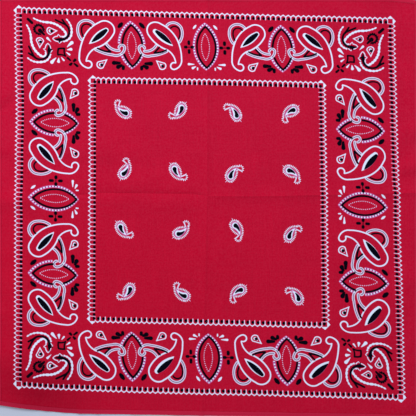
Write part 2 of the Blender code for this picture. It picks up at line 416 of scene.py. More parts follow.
# %% Printed places of points on the cloth
HALF = 249.6  # from the middle of the design to the outer frame
INNER_HALF = 157.8
OUTER_CORNERS = ((-253.8, -235.0), (259.2, -254.2), (-254.1, 265.4), (245.0, 250.5))
INNER_CORNERS = ((-156.6, -150.9), (158.2, -158.0), (-155.7, 172.4), (153.2, 166.2))
SQUARENESS = 16  # a high power mean, which is nearly a square with very slightly rounded corners
PRINT_RISE = 7.0  # of the middle of the print above the middle of the cloth
STEPS = 30
STEP_SHARE = 0.9  # a little less than the whole way, so that the steps settle
PULLS = {  # x, y, reach along x and y, shift along x and y
    "upper frame hangs left of the middle": (-110, 262, 90, 20, 0.0, -0.6),
    "lower frame bows out": (-110, -244, 170, 24, 0.0, -3.4),
    "left frame bows in": (-250, 140, 20, 85, 1.9, 0.0),
    "upper left corner": (-200, 200, 38, 45, -1.8, -0.3),
    "upper left corner, square and cross": (-187, 199, 20, 18, -1.7, 0.0),
    "lower left corner, square and cross": (-185, -175, 20, 18, -2.0, -0.3),
    "lower right corner, cross": (184, -178, 14, 14, 1.2, 1.0),
    "upper right corner": (190, 195, 30, 30, 0.4, -0.6),
    "lower left corner": (-193, -175, 35, 35, 0.0, 1.2),
    "lower right corner": (205, -200, 40, 40, 1.0, 1.8),
    "leaf in the middle of the upper border": (0, 212, 22, 45, -1.4, 0.0),
    "leaf in the middle of the lower border": (0, -205, 22, 45, -1.2, 0.0),
    "right frame bows in": (256, 80, 20, 110, -0.5, 0.0),
    "inner frame, upper side": (0, 165, 110, 20, 0.0, 0.8),
    "inner frame, lower right": (100, -155, 70, 20, 0.0, -0.8),
    "upper border, left half": (-78, 212, 68, 45, 2.8, 0.0),
    "lower border, left half": (-80, -205, 60, 45, 1.1, 0.0),
    "lower border, towards the field": (0, -185, 150, 26, 0.0, 1.5),
    "left border": (-200, 60, 42, 130, 2.2, 0.0),
    "left border, upper part": (-212, 148, 30, 34, 1.0, 0.0),
    "left border above the fold": (-205, 65, 45, 60, 0.0, -0.8),
    "left border under the fold": (-205, -45, 45, 45, 0.0, 1.9),
    "right border": (205, 10, 45, 120, 1.0, 1.6),
    "right border under the fold": (205, -45, 42, 42, 0.0, 2.0),
    "right border, upper outer side": (225, 130, 25, 80, 0.0, 0.9),
    "right border, upper inner side": (180, 80, 18, 75, 0.0, -0.8),
    "leaf in the middle of the right border": (217, 10, 45, 22, 1.6, 0.0),
    "right border, over the lower leaf": (217, -95, 30, 30, 0.0, 2.0),
    "right border, under the lower leaf": (217, -150, 30, 22, 0.0, -1.5),
    "right border, lower inner side": (188, -130, 22, 40, 1.0, 0.0),
    "lower border": (0, -215, 170, 32, 0.0, 0.7),
    "lower left sprig": (-205, -228, 30, 18, 0.0, -0.9),
}


def pulled(x, y):
    """How far the print has crept at each point of the cloth."""
    creep_x, creep_y = 0.0, 0.0
    for at_x, at_y, reach_x, reach_y, shift_x, shift_y in PULLS.values():
        share = np.exp(-(((x - at_x) / reach_x) ** 2) - ((y - at_y) / reach_y) ** 2)
        creep_x, creep_y = creep_x + share * shift_x, creep_y + share * shift_y
    return creep_x, creep_y


def between_corners(corners, across, up):
    """across and up run from -1 to 1, corners are lower left, lower right, upper left, upper right."""
    shares = [(1 + side * across) * (1 + end * up) / 4 for end in (-1, 1) for side in (-1, 1)]
    return [sum(share * corner[n] for share, corner in zip(shares, corners)) for n in (0, 1)]


def lies_at(a, b):
    """Where the design's point (a, b) lies on the cloth."""
    big = np.maximum(np.abs(a), np.abs(b)) + 1e-9
    ring = big * ((a / big) ** SQUARENESS + (b / big) ** SQUARENESS) ** (1 / SQUARENESS)
    share = np.clip((ring - INNER_HALF) / (HALF - INNER_HALF), 0.0, 1.0)
    inner = between_corners(INNER_CORNERS, a / INNER_HALF, b / INNER_HALF)
    outer = between_corners(OUTER_CORNERS, a / HALF, b / HALF)
    return inner[0] * (1 - share) + outer[0] * share, inner[1] * (1 - share) + outer[1] * share


def printed_place(x, y):
    creep_x, creep_y = pulled(x, y)
    x, y = x - creep_x, y - creep_y
    a, b = x, y - PRINT_RISE
    for _ in range(STEPS):
        at_x, at_y = lies_at(a, b)
        a, b = a + STEP_SHARE * (x - at_x), b + STEP_SHARE * (y - at_y)
    return a, b


print("the middle of the cloth has the printed place %.1f, %.1f mm" % printed_place(0.0, 0.0))

# %% [markdown]
# ## Making a shell
#
# Both the panel and the hems are thin closed shells: one grid of points for the face, one for the
# underside, and a wall round the rim. Solidify could thicken a single sheet, but here the thickness
# changes from place to place, and that is easier to say with two grids. Each point also keeps how near
# it is to the seam, where its finish paints shade into the groove, and to the outer fold, where the
# finish is paler.

# %% A closed shell from two grids
SEAM_REACH = 0.8
PALE_EDGE_WIDTH = 1.4


def quads(index):
    return np.stack([index[:-1, :-1], index[:-1, 1:], index[1:, 1:], index[1:, :-1]], -1).reshape(-1, 4)


def closed_shell(name, x, y):
    """x and y are grids (rows, columns) with x growing along the rows and y along the columns."""
    rows, columns = x.shape
    count = rows * columns
    points = np.concatenate([face_point(x, y).reshape(-1, 3), under_point(x, y).reshape(-1, 3)])
    index = np.arange(count).reshape(rows, columns)
    rim = np.concatenate([index[0, :], index[1:, -1], index[-1, -2::-1], index[-2:0:-1, 0]])
    after = np.roll(rim, -1)
    wall = np.stack([rim + count, after + count, after, rim], 1)
    faces = np.concatenate([quads(index), quads(index)[:, ::-1] + count, wall])
    mesh = bpy.data.meshes.new(name)
    mesh.from_pydata((points * MM).tolist(), [], faces.tolist())
    mesh.shade_smooth()
    piece = bpy.data.objects.new(name, mesh)
    bpy.context.scene.collection.objects.link(piece)
    print("%s: %d x %d points, %d triangles" % (name, rows, columns, 2 * len(faces)))
    return piece


def store(piece, name, kind, values):
    """Keeps a number or a place on each point of a mesh, for its finish to read."""
    attribute = piece.data.attributes.new(name, kind, "POINT")
    field = "vector" if kind == "FLOAT_VECTOR" else "value"
    attribute.data.foreach_set(field, np.asarray(values, dtype=np.float32).ravel())


def store_seam_and_edge(piece, x, y):
    """Nearness to the seam's groove, for a painted shade, and to the outer edge, for a paler tint; each from
    0 to 1.
    """
    inset = np.minimum(*nearest_insets(x, y))
    seam = np.exp(-(((inset - SEAM) / SEAM_REACH) ** 2))
    edge = np.clip(1.0 - inset / PALE_EDGE_WIDTH, 0.0, 1.0)
    store(piece, "seam", "FLOAT", np.tile(seam.ravel(), 2))
    store(piece, "edge", "FLOAT", np.tile(edge.ravel(), 2))


# %% [markdown]
# ## A flat map for baking
#
# An exported model carries its print as a picture, so every face of the panel needs a place of its own
# on one square. The face of the cloth gets most of it. The underside is plain enough to be squeezed: its
# left half lies in a strip on the right and its right half, turned, in a strip above. The rim, which the
# hems hide, is cut in little squares in the corner that is left.

# %% Bake map
MAP_FACE = 0.79  # share of the square's side that the face of the cloth takes
MAP_STRIP = 0.19
MAP_MARGIN = 0.005
RIM_CELLS = 30
CELL_FILL = 0.7


def bake_map(piece, x, y):
    rows, columns = x.shape
    count, quad_count = rows * columns, (rows - 1) * (columns - 1)
    corners = np.zeros(len(piece.data.loops), dtype=np.int32)
    piece.data.loops.foreach_get("vertex_index", corners)
    corners = corners.reshape(-1, 4) % count
    across, up = x.ravel()[corners] / SIDE + 0.5, y.ravel()[corners] / SIDE + 0.5
    places = np.zeros((*corners.shape, 2))
    far = 2 * MAP_MARGIN + MAP_FACE
    face, under = slice(0, quad_count), slice(quad_count, 2 * quad_count)
    places[face] = np.stack([across[face], up[face]], -1) * MAP_FACE + MAP_MARGIN
    left = np.tile(np.arange(columns - 1) < (columns - 1) // 2, rows - 1)[:, None]
    share = np.where(left, across[under], across[under] - 0.5) * 2 * MAP_STRIP
    run = up[under] * MAP_FACE + MAP_MARGIN
    places[under] = np.stack([np.where(left, far + share, run), np.where(left, run, far + share)], -1)
    number = np.arange(len(corners) - 2 * quad_count)
    cell = np.stack([number % RIM_CELLS, number // RIM_CELLS], -1)[:, None, :]
    square = np.array([(0, 0), (1, 0), (1, 1), (0, 1)])[None] * CELL_FILL
    places[2 * quad_count:] = far + (cell + square) * (MAP_STRIP / RIM_CELLS)
    layer = piece.data.uv_layers.new(name="OFBake")
    layer.data.foreach_set("uv", places.astype(np.float32).ravel())
    print("bake map: %d faces, from %.3f to %.3f" % (len(corners), places.min(), places.max()))


# %% [markdown]
# ## The panel
#
# The points of the panel lie on lines that follow the two pressed folds, and crowd together there and
# at the seams. A fold then keeps its sharp line, where an even grid would blunt it. The same places
# are used for the printed design, whose place at each point is stored with a third number that says
# face or underside.

# %% Panel
HALF_LINES = 107  # grid lines from a fold to a hem
CROWDING = ((0.88, 4.5), (0.80, 3.0))  # at fold and hem: how much closer, over how many lines


def crowded_shares():
    """Shares of the way from a fold to the hem, close together at both ends."""
    line = np.arange(HALF_LINES)
    (at_fold, fold_lines), (at_hem, hem_lines) = CROWDING
    step = 1 - at_fold * np.exp(-line / fold_lines) - at_hem * np.exp(-line[::-1] / hem_lines)
    shares = np.cumsum(step) / step.sum()
    return np.concatenate([-shares[::-1], [0.0], shares])


def between(low, middle, high, share):
    return middle + share * np.where(share > 0, high - middle, middle - low)


def make_panel():
    shares = crowded_shares()
    across, up = np.meshgrid(shares, shares)
    x = between(SEAM - SIDE / 2, along_bends(UPRIGHT_FOLD, up * SIDE / 2), SIDE / 2 - SEAM, across)
    y = between(lower_edge(x) + SEAM, along_bends(LEVEL_FOLD, x), upper_edge(x) - SEAM, up)
    piece = closed_shell("printed_panel", x, y)
    a, b = printed_place(x, y)
    on_face = np.stack([a, b, np.ones_like(a)], -1).reshape(-1, 3)
    store(piece, "printed_place", "FLOAT_VECTOR", np.concatenate([on_face, on_face * (1, 1, 0)]))
    store_seam_and_edge(piece, x, y)
    bake_map(piece, x, y)
    return piece


panel = make_panel()

# %% [markdown]
# ## The hems
#
# A hem is a strip with the turned edge outside. The lower and the upper one run the full width, and
# the other two fit between them, as on the solids. Across the strip the grid lines are close where it
# rounds over and where the stitches press it down, and wide on the flat between. The full-width hems
# have the same close lines at both ends, where they round over the corners.

# %% Hems
ACROSS_HEM = (0.0, 0.1, 0.3, 0.65, 1.1, 2.0, 3.0, 3.9, 4.35, STITCH_INSET, 5.05, 5.35, 5.6, SEAM)
HEM_STEP = 2.0


def make_hem(side):
    steps = round(SIDE / HEM_STEP)
    inward = np.array(ACROSS_HEM if side in ("left", "bottom") else ACROSS_HEM[::-1])
    if side in ("left", "right"):
        inset, share = np.meshgrid(inward, np.linspace(0.0, 1.0, steps))
        x = inset - SIDE / 2 if side == "left" else SIDE / 2 - inset
        low, high = lower_edge(x) + SEAM, upper_edge(x) - SEAM
        y = low + share * (high - low)
    else:
        end = np.array(ACROSS_HEM[:-1])
        along = np.concatenate([end, np.linspace(SEAM, SIDE - SEAM, steps), SIDE - end[::-1]])
        x, inset = np.meshgrid(along - SIDE / 2, inward)
        y = lower_edge(x) + inset if side == "bottom" else upper_edge(x) - inset
    piece = closed_shell(side + "_hem", x, y)
    store_seam_and_edge(piece, x, y)
    return piece


hems = {side: make_hem(side) for side in ("bottom", "top", "left", "right")}

# %% [markdown]
# ## The stitches
#
# A lockstitch shows as a row of short raised threads, each ending in the hole where the needle went
# down. There are more than eight hundred of them, so they are worked out in a loop and joined in one
# mesh for each hem. Each is a little six-sided roll of thread that is fattest in the middle and dives
# into the cloth at both ends.

# %% Stitches
STITCH_PITCH = 2.7
STITCH_LENGTH = 2.35
STITCH_WANDER = 0.10  # in radians and millimetres
STITCH_LENGTHS = (0.92, 1.05)  # shares between which a stitch's length varies
ROW_END = 2.0  # from the edge to the row's end
THREAD = 0.36
STITCH_RINGS = (  # along, width of the thread, height
    (-0.5, 0.5, -0.30), (-0.36, 0.9, 0.02), (-0.12, 1.0, 0.12),
    (0.12, 1.0, 0.12), (0.36, 0.9, 0.02), (0.5, 0.5, -0.30),
)
THREAD_SIDES = 6
NEEDLE_SEED = 5


def stitch_line(side):
    """Middles and directions of one row's stitches. Rows run on over the corners to the very edge."""
    run = SIDE - 2 * ROW_END
    count = int(run / STITCH_PITCH)
    share = (np.arange(count) + 0.5) / count
    if side in ("left", "right"):
        x = np.full(count, STITCH_INSET - SIDE / 2 if side == "left" else SIDE / 2 - STITCH_INSET)
        low, high = lower_edge(x) + ROW_END, upper_edge(x) - ROW_END
        y = low + share * (high - low)
    else:
        x = (share - 0.5) * run
        y = lower_edge(x) + STITCH_INSET if side == "bottom" else upper_edge(x) - STITCH_INSET
    return x, y, np.arctan2(np.gradient(y), np.gradient(x))


def make_stitches(side, chance):
    points, faces = [], []
    turns = np.arange(THREAD_SIDES) * (2 * math.pi / THREAD_SIDES)
    x, y, heading = stitch_line(side)
    heights = face_point(x, y)[:, 2]
    for middle_x, middle_y, height, way in zip(x, y, heights, heading):
        way = way + chance.uniform(-STITCH_WANDER, STITCH_WANDER)
        shift = chance.uniform(-STITCH_WANDER, STITCH_WANDER)
        length = STITCH_LENGTH * chance.uniform(*STITCH_LENGTHS)
        first = len(points)
        for along, fatness, above in STITCH_RINGS:
            for turn in turns:
                out = shift + THREAD / 2 * fatness * math.cos(turn)
                up = height + above + THREAD / 2 * fatness * math.sin(turn)
                run = along * length
                points.append((
                    middle_x + run * math.cos(way) - out * math.sin(way),
                    middle_y + run * math.sin(way) + out * math.cos(way),
                    up,
                ))
        for ring in range(len(STITCH_RINGS) - 1):
            for n in range(THREAD_SIDES):
                m = (n + 1) % THREAD_SIDES
                here, there = first + ring * THREAD_SIDES, first + (ring + 1) * THREAD_SIDES
                faces.append((here + n, there + n, there + m, here + m))
        faces.append(tuple(first + n for n in range(THREAD_SIDES)))
        last = first + (len(STITCH_RINGS) - 1) * THREAD_SIDES
        faces.append(tuple(last + n for n in reversed(range(THREAD_SIDES))))
    mesh = bpy.data.meshes.new(side + "_stitches")
    mesh.from_pydata([tuple(value * MM for value in point) for point in points], [], faces)
    mesh.shade_smooth()
    piece = bpy.data.objects.new(side + "_stitches", mesh)
    bpy.context.scene.collection.objects.link(piece)
    print("%s_stitches: %d stitches" % (side, len(x)))
    return piece


needle = random.Random(NEEDLE_SEED)
stitches = {side: make_stitches(side, needle) for side in hems}

# %% [markdown]
# ## Words for the shader
#
# The print is drawn by arithmetic, and written as arithmetic. A Signal wraps one socket of a shader.
# Adding, multiplying or comparing signals adds the Math node that does it, and the same class holds
# the few steps that a place needs. Any other node comes from add_node.


# %% Signal
def add_node(tree, kind, settings, inputs, output=0):
    """Adds a node, sets it up, then fills its sockets with values or links. Gives one of its outputs."""
    made = tree.nodes.new(kind)
    for name, value in settings.items():
        if name == "stops":
            set_stops(made.color_ramp, value)
        else:
            setattr(made, name, value)
    for name, value in inputs.items():
        if isinstance(value, Signal):
            tree.links.new(value.socket, made.inputs[name])
        else:
            made.inputs[name].default_value = value
    return Signal(made.outputs[output])


def set_stops(ramp, stops):
    """stops are (position, colour) rows."""
    ramp.interpolation = "CONSTANT"
    while len(ramp.elements) < len(stops):
        ramp.elements.new(0.5)
    for stop, (position, colour) in zip(ramp.elements, stops):
        stop.position = position
        stop.color = colour


class Signal:
    """What one socket gives, all over the surface."""

    def __init__(self, socket):
        self.socket = socket

    def node(self, kind, settings, inputs, output=0):
        return add_node(self.socket.id_data, kind, settings, inputs, output)

    def math(self, operation, *others):
        return self.node("ShaderNodeMath", {"operation": operation}, dict(enumerate((self, *others))))

    def __add__(self, other):
        return self.math("ADD", other)

    def __mul__(self, other):
        return self.math("MULTIPLY", other)

    def __sub__(self, other):
        return self.math("SUBTRACT", other)

    def __gt__(self, other):
        return self.math("GREATER_THAN", other)

    def __rsub__(self, other):
        return self.node("ShaderNodeMath", {"operation": "SUBTRACT"}, {0: other, 1: self})

    def __abs__(self):
        return self.math("ABSOLUTE")

    def __neg__(self):
        return self * -1.0

    __radd__ = __add__
    __rmul__ = __mul__

    def vector(self, operation, inputs, output=0):
        return self.node("ShaderNodeVectorMath", {"operation": operation}, {0: self, **inputs}, output)

    def moved(self, place):
        """The way from a fixed place to this one."""
        return self.vector("SUBTRACT", {1: (*place, 0.0)})

    def towards(self, direction):
        return self.vector("DOT_PRODUCT", {1: (*direction, 0.0)}, "Value")

    def length(self):
        return self.vector("LENGTH", {}, "Value")

    def scaled(self, amounts):
        return self.vector("MULTIPLY", {1: amounts})

    def parts(self):
        first = self.node("ShaderNodeSeparateXYZ", {}, {0: self})
        return [Signal(socket) for socket in first.socket.node.outputs]


def place_at(x, y, z=0.0):
    return x.node("ShaderNodeCombineXYZ", {}, {0: x, 1: y, 2: z})


def least(*values):
    lowest = values[0]
    for value in values[1:]:
        lowest = lowest.math("MINIMUM", value)
    return lowest


def most(*values):
    highest = values[0]
    for value in values[1:]:
        highest = highest.math("MAXIMUM", value)
    return highest


def held(value, low, high):
    return value.node("ShaderNodeClamp", {}, {0: value, 1: low, 2: high})


def within_one(value):
    return value.math("FRACT")


# %% [markdown]
# ## Strokes
#
# Everything on the print is built from strokes, straight ones and arcs, each with a width at both
# ends. A stroke is a distance: below zero inside the ink, above zero outside. The nearest of many such
# distances is the whole drawing, and a soft step at zero turns it into ink. An arc is given by three
# points that it passes through, which is how one would pin a piece of wire to paper.


# %% Straight and curved strokes
def straight(place, first, last, width, end_width=None, belly=0.0):
    """belly is how much fatter the stroke is at its middle, on each side."""
    run, rise = last[0] - first[0], last[1] - first[1]
    length = math.hypot(run, rise)
    way = (run / length, rise / length)
    from_first = place.moved(first)
    along = held(from_first.towards(way), 0.0, length)
    scale = {"operation": "SCALE"}
    nearest = along.node("ShaderNodeVectorMath", scale, {0: (*way, 0.0), "Scale": along})
    gap = from_first.vector("SUBTRACT", {1: nearest}).length()
    end_width = width if end_width is None else end_width
    if end_width != width:
        gap = gap - along * ((end_width - width) / 2 / length)
    if belly:
        gap = gap - (length - along) * along * (4 * belly / length**2)
    return gap - width / 2


def arc_through(first, through, last):
    """Centre, radius, middle angle, half the sweep and sense of the arc through three points."""
    (x0, y0), (x1, y1), (x2, y2) = first, through, last
    double_area = 2 * ((x1 - x0) * (y2 - y0) - (x2 - x0) * (y1 - y0))
    s0, s1, s2 = x0**2 + y0**2, x1**2 + y1**2, x2**2 + y2**2
    centre_x = ((s1 - s0) * (y2 - y0) - (s2 - s0) * (y1 - y0)) / double_area
    centre_y = ((s2 - s0) * (x1 - x0) - (s1 - s0) * (x2 - x0)) / double_area
    sense = 1.0 if double_area > 0 else -1.0
    start = math.atan2(y0 - centre_y, x0 - centre_x)
    end = math.atan2(y2 - centre_y, x2 - centre_x)
    sweep = ((end - start) * sense) % (2 * math.pi)
    radius = math.hypot(x0 - centre_x, y0 - centre_y)
    return (centre_x, centre_y), radius, start + sense * sweep / 2, sweep / 2, sense


def curved(place, first, through, last, width, end_width=None, teeth=0.0, pitch=1.0):
    """teeth is how far the edges of the stroke are nibbled, once in each pitch."""
    centre, radius, middle, half, sense = arc_through(first, through, last)
    end_width = width if end_width is None else end_width
    arm = place.moved(centre)
    reach = arm.length()
    aside = arm.towards((-sense * math.sin(middle), sense * math.cos(middle)))
    angle = aside.math("ARCTAN2", arm.towards((math.cos(middle), math.sin(middle))))
    along = held(angle, -half, half)
    chord = (angle - along).math("COSINE").math("MULTIPLY_ADD", -2 * radius, reach)
    gap = chord.math("MULTIPLY_ADD", reach, radius**2).math("SQRT")
    if end_width != width:
        gap = gap - along * ((end_width - width) / (4 * half))
    if teeth:
        gap = gap - (angle * (2 * math.pi * radius / pitch)).math("COSINE") * teeth
    return gap - (width + end_width) / 4


def strokes(place, rows):
    """The nearest of several strokes. A row is its points, then its widths and the like."""
    gaps = []
    for points, *widths in rows:
        draw = straight if len(points) == 2 else curved
        gaps.append(draw(place, *points, *widths))
    return least(*gaps)


def chain(points, *widths):
    """Arcs that run on from one another, through every second point, all of the same widths."""
    return [(points[n : n + 3], *widths) for n in range(0, len(points) - 2, 2)]


def rim(gap, half_width):
    """A line of ink just inside the edge of a shape."""
    return abs(gap + half_width) - half_width


arch_radius = arc_through((0.0, 0.0), (1.0, 1.0), (2.0, 0.0))[1]
print("an arch 2 mm wide and 1 mm high has a radius of %.1f mm" % arch_radius)


# %% [markdown]
# ## Printing blocks
#
# The design repeats by turning and mirroring, as hand-cut printing blocks do. Each block is a node
# group, drawn once in its own corner of the plane and then fetched for every place where the print
# shows it. Numbers are millimetres: along the side from its middle, and in from the outer frame.


# %% What a block is
def printing_block(name, draw, outputs=("outside",)):
    """A node group that takes a place and gives how far outside the inked shapes it is."""
    block = bpy.data.node_groups.new(name, "ShaderNodeTree")
    block.interface.new_socket("place", in_out="INPUT", socket_type="NodeSocketVector")
    for output in outputs:
        block.interface.new_socket(output, in_out="OUTPUT", socket_type="NodeSocketFloat")
    place = Signal(block.nodes.new("NodeGroupInput").outputs["place"])
    drawn = draw(place)
    given = block.nodes.new("NodeGroupOutput")
    for output, signal in zip(outputs, drawn if isinstance(drawn, tuple) else (drawn,)):
        block.links.new(signal.socket, given.inputs[output])
    print("block %s: %d nodes" % (name, len(block.nodes)))
    return block


def pressed(block, place):
    return place.node("ShaderNodeGroup", {"node_tree": block}, {0: place})


def output(signal, name):
    """Another output of the node that a signal comes from."""
    return Signal(signal.socket.node.outputs[name])


# %% [markdown]
# ### The large paisley
#
# The paisley of the border is a teardrop with a bent tail, outlined in white and filled with a second
# drop that has a black core. Ribbons loop round its head and cross its waist: two pale edges with a dark
# line between them. They are drawn as bare lines here, which the plate later makes as broad as both
# need. A small separate tear hangs at the tail.

# %% Large paisley
LARGE_OUTLINE = (
    *chain(((60.5, 15.7), (77.4, 17.8), (79.4, 30.0), (69.4, 42.8), (54.6, 51.0)), 2.3),
    (((54.6, 51.0), (46.0, 59.2), (42.8, 68.5)), 2.2),
    *chain(((43.4, 68.6), (49.7, 73.0), (44.6, 77.7), (37.6, 73.4), (34.6, 62.8)), 2.3),
    *chain(((34.6, 62.8), (36.2, 48.6), (40.4, 36.0), (48.9, 24.0), (60.5, 15.7)), 2.3),
)
BANDS = (
    *chain(((52.9, 17.6), (43.7, 13.3), (33.3, 19.9), (32.3, 29.4), (36.8, 40.0)), 0.0),
    (((69.2, 45.4), (75.6, 51.6), (85.2, 53.6)), 0.0),
    *chain(((54.9, 53.2), (64.5, 57.3), (76.6, 59.7), (88.4, 57.6), (92.2, 51.0)), 0.0),
    (((92.2, 51.0), (88.8, 46.2), (85.0, 49.6)), 0.0),
)
BAND_CLEARANCE = 1.0  # between the paisley's outline and the bands that pass under it
LARGE_DROP = (((46.6, 45.4), (69.2, 26.3)), 0.9, 7.2, 3.2)
LARGE_TEAR = (((61.1, 73.1), (69.5, 66.0)), 11.6, 1.0)
TEAR_LINE = 0.95  # half the width of the line round the tear
TEAR_HEART = 3.3  # from the tear's edge to the white in its middle
LARGE_BLACK = (
    (((49.3, 42.4), (68.2, 26.1)), 0.6, 3.6, 2.1),
    *chain(((48.9, 21.0), (42.6, 18.2), (36.9, 22.6), (36.4, 28.6), (38.4, 35.0)), 1.3),
    (((65.9, 47.6), (72.4, 54.6)), 1.5),
    (((56.6, 51.0), (64.8, 54.3), (72.8, 55.2)), 1.5, 2.0),
)
TEAR_EYE = ((61.5, 73.1), 1.7)


def dot(place, middle, radius):
    return place.moved(middle).length() - radius


def large_white(place):
    outline, bands = strokes(place, LARGE_OUTLINE), strokes(place, BANDS)
    drop, tear = strokes(place, [LARGE_DROP]), strokes(place, [LARGE_TEAR])
    inked = least(outline, drop, rim(tear, TEAR_LINE), tear + TEAR_HEART)
    return inked, bands, most(bands, BAND_CLEARANCE - outline)


def large_black(place):
    return least(strokes(place, LARGE_BLACK), dot(place, *TEAR_EYE))


band_outputs = ("outside", "bands", "middle of bands")
large_white_block = printing_block("large paisley white", large_white, band_outputs)
large_black_block = printing_block("large paisley black", large_black)

# %% [markdown]
# ### The leaf
#
# Between the paisleys stands a pointed leaf: a twisted rope round it with a dot in each turn, a black
# line inside, and a ring of fine dots at its heart. Both sides of a pointed leaf are arcs of a circle,
# so the distance to it is one length and a subtraction. Counting turns along the arc places the dots.
# A leaf is given by half its width, half its height and how far in from the frame its middle lies.

# %% Leaf
ROPE_LEAF = (16.5, 31.2, 45.4)
ROPE_PITCH = 3.9
PEARL = 1.35
PEARL_GAP = 0.65
ROPE_HALF_WIDTH = 1.75
LINE_LEAF = (13.0, 28.2, 46.1)
LINE_HALF_WIDTH = 0.95
BEAD_LEAF = (5.6, 18.9, 46.2)
BEAD_PITCH = 2.5
BEAD = 0.78
BEADS_END = 0.5  # how far past the leaf's points a bead may reach
LEAF_SEEDS = (
    (((12.3, 16.2), (16.3, 20.8)), 2.2, 2.2, 0.8),
    (((24.4, 70.0), (17.0, 70.1)), 4.0, 1.8),
    (((18.8, 75.3), (14.6, 73.2)), 4.2, 1.8),
    (((12.1, 75.2), (12.1, 77.6)), 2.8, 2.4),
)


def leaf_side(place, half_width, half_height, middle):
    """Distance outside a pointed leaf, how far along its side, and the side's radius."""
    radius = (half_width**2 + half_height**2) / (2 * half_width)
    arm = place.moved((half_width - radius, middle))
    x, y, _ = arm.parts()
    return arm.length() - radius, y.math("ARCTAN2", x) * radius


def spaced(along, pitch):
    """How far along from the nearest of a row of dots."""
    return (within_one(along * (1 / pitch)) - 0.5) * pitch


def leaf_rope(place):
    """Pearls, the dark gaps between them, and the pink band that they lie on."""
    rope, along = leaf_side(place, *ROPE_LEAF)
    pearls = place_at(rope, spaced(along, ROPE_PITCH)).length() - PEARL
    gaps = place_at(rope, spaced(along + ROPE_PITCH / 2, ROPE_PITCH)).length() - PEARL_GAP
    return pearls, gaps, abs(rope) - ROPE_HALF_WIDTH


def leaf_beads(place):
    side, along = leaf_side(place, *BEAD_LEAF)
    _, depth, _ = place.parts()
    _, half_height, middle = BEAD_LEAF
    beads = place_at(side, spaced(along, BEAD_PITCH)).length() - BEAD
    return most(beads, abs(depth - middle) - (half_height + BEADS_END))


def leaf_line(place):
    return abs(leaf_side(place, *LINE_LEAF)[0]) - LINE_HALF_WIDTH


rope_block = printing_block("leaf rope", leaf_rope, ("pearls", "gaps", "band"))
beads_block = printing_block("leaf beads", leaf_beads)
leaf_line_block = printing_block("leaf black line", leaf_line)
seeds_block = printing_block("leaf seeds", lambda place: strokes(place, LEAF_SEEDS))

# %% [markdown]
# ### Corners
#
# Each corner of the border has a sprig: two curved stems in white, a tulip, a tear, a few drops and a
# toothed ring in black. It is mirrored about the square's diagonal, so half of it is drawn.

# %% Corner sprig and the little cross
WAVY = (0.28, 4.4)  # how deep and how far apart a stem's edges are nibbled
CORNER_WHITE = (
    (((226.2, 13.2), (217, 17.0), (206.6, 18.5)), 2.1, 3.1, *WAVY),
    (((206.6, 18.5), (193.2, 22.3), (184.2, 31)), 3.1, 3.2, *WAVY),
    (((184.2, 31), (184.3, 36.4), (188.5, 37.2)), 3.1, 2.4),
    (((181.4, 13.4), (176.2, 22.6), (175.9, 32)), 1.9, 3.0, *WAVY),
    (((175.9, 32), (179.3, 40.0), (186.2, 43.6)), 3.0, 2.4, *WAVY),
    (((202.2, 40.2), (199.0, 37.8), (195.2, 37.0)), 1.6),
    (((195.2, 37.0), (193.3, 34.4)), 1.6, 1.2),
    (((193.3, 34.4), (190.4, 37.4)), 1.2, 1.8),
    (((202.2, 40.2), (198.6, 43.0), (194.8, 43.9)), 1.6),
    (((194.8, 43.9), (192.9, 46.2)), 1.6, 1.2),
    (((192.9, 46.2), (189.0, 43.4)), 1.2, 1.8),
    (((209.8, 39.8), (205.2, 44.4)), 3.8, 0.8),
    (((175.9, 45.2), (182.3, 51.0)), 4.8, 1.2),
    (((177.2, 54.0), (182.3, 54.6)), 4.2, 1.4),
    (((180.2, 61.0), (183.9, 58.2)), 3.0, 1.4),
)
CORNER_BLACK = (
    (((220.2, 29.4), (215.0, 34.6)), 4.2, 2.2),
    (((235.0, 14.6), (230.4, 19.2)), 3.4),
    (((199.4, 40.7), (191.3, 40.9)), 0.8, 4.2),
    (((193.8, 41.3), (194.0, 44.7)), 3.4, 0.8),
    (((191.3, 40.9), (182.4, 37.1), (179.7, 28.7)), 2.9, 1.8),
    (((179.7, 28.7), (181.0, 24.0), (184.6, 20.2)), 1.8, 2.0),
    (((184.6, 20.2), (196.6, 14.6)), 2.0, 1.7),
    (((182.8, 22.0), (187.7, 14.2)), 2.0, 1.7),
    (((196.4, 53.2), (192.2, 52.6), (187.4, 52.7)), 1.7),
    (((187.4, 52.7), (188.2, 57.2), (187.0, 62.6)), 1.7),
    (((184.2, 65.4), (181.4, 68.2)), 2.6, 1.8),
    (((176.6, 73.0), (173.9, 75.7)), 2.0, 2.8),
    (((177.0, 69.5), (174.7, 67.6)), 1.9, 2.8),
)
CORNER_TEAR = (((204.4, 30.0), (194.2, 29.6)), 11.0, 1.0)
CORNER_TEAR_LINE = 0.9
CORNER_TEAR_HEART = 3.1
CORNER_EYE = ((203.3, 29.9), 1.7)
BUD = ((220.0, 29.6), 2.7)
RING_MIDDLE = (221.2, 28.4)
RING_RADIUS = 6.3
RING_HALF_WIDTH = 1.35
RING_TEETH = 14
RING_TOOTH = 0.6
RING_MOUTH = 0.5  # half the angle that the ring leaves open, towards the corner
MOUTH_EDGE = 6.0  # turns that angle into millimetres
CROSS_MIDDLE = (24.6, 46.3)
CROSS = (
    (((0, 4.7), (0, 7.3)), 3.2),
    (((4.0, 0), (5.3, 0)), 3.3),
    (((0, 0), (3.7, 0)), 0.3),
)


def corner_white(place):
    tear = strokes(place, [CORNER_TEAR])
    rest = strokes(place, CORNER_WHITE)
    return least(rest, rim(tear, CORNER_TEAR_LINE), tear + CORNER_TEAR_HEART)


